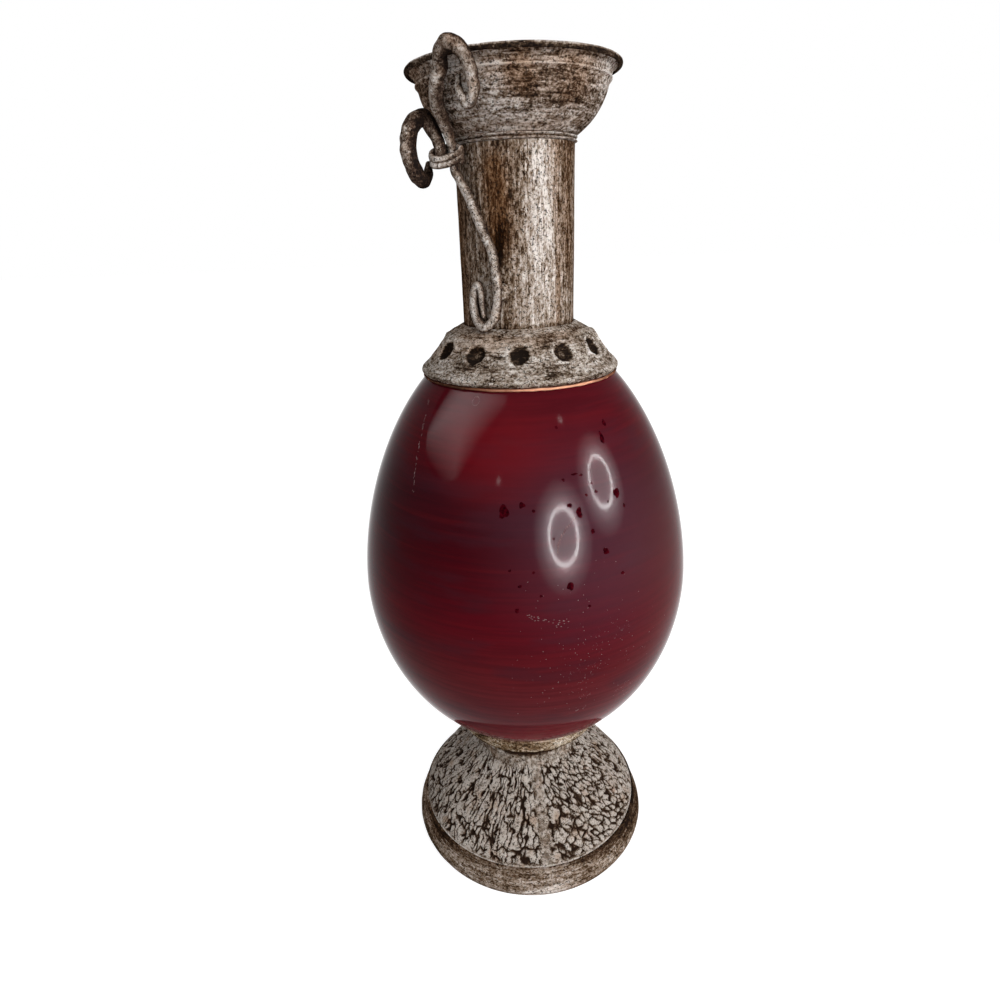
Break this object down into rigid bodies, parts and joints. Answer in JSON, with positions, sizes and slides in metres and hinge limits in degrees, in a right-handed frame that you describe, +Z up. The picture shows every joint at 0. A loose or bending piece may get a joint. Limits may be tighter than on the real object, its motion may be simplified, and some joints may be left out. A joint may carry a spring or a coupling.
{
  "type": "metal vase",
  "caption": "Tall metal vase with an egg-shaped red lacquered body on a domed foot, a dimpled collar, a straight neck, a flared cup and a wrought vine.",
  "frame": {"origin": "centre of the base on the surface that the vase stands on", "axes": "+Z up along the axis of the vase, -Y towards the side shown in the picture, +X to the right in the picture"},
  "size_m": [0.201, 0.201, 0.4834],
  "materials": {
    "patinated_metal": "brown patina, dry-brushed with silver grey",
    "red_lacquer": "glossy lacquer",
    "copper_joint": "satin",
    "plain_steel": "zinc plated"
  },
  "bodies": {
    "root": {"foot_plinth": "patinated_metal", "foot_cone": "patinated_metal", "stem_seat": "patinated_metal", "shoulder_collar": "patinated_metal", "neck_tube": "patinated_metal", "cup_bead_ring": "patinated_metal", "mouth_cup": "patinated_metal", "rim_wire": "patinated_metal", "vine_rod": "patinated_metal", "vine_curl": "patinated_metal", "vine_tie": "patinated_metal", "vine_weld": "patinated_metal", "body_lower_shell": "red_lacquer", "body_upper_shell": "red_lacquer", "joint_ring": "copper_joint", "foot_bolt": "plain_steel", "bolt_washer": "plain_steel", "nut_washer": "plain_steel", "foot_nut": "plain_steel"}
  },
  "joints": []
}
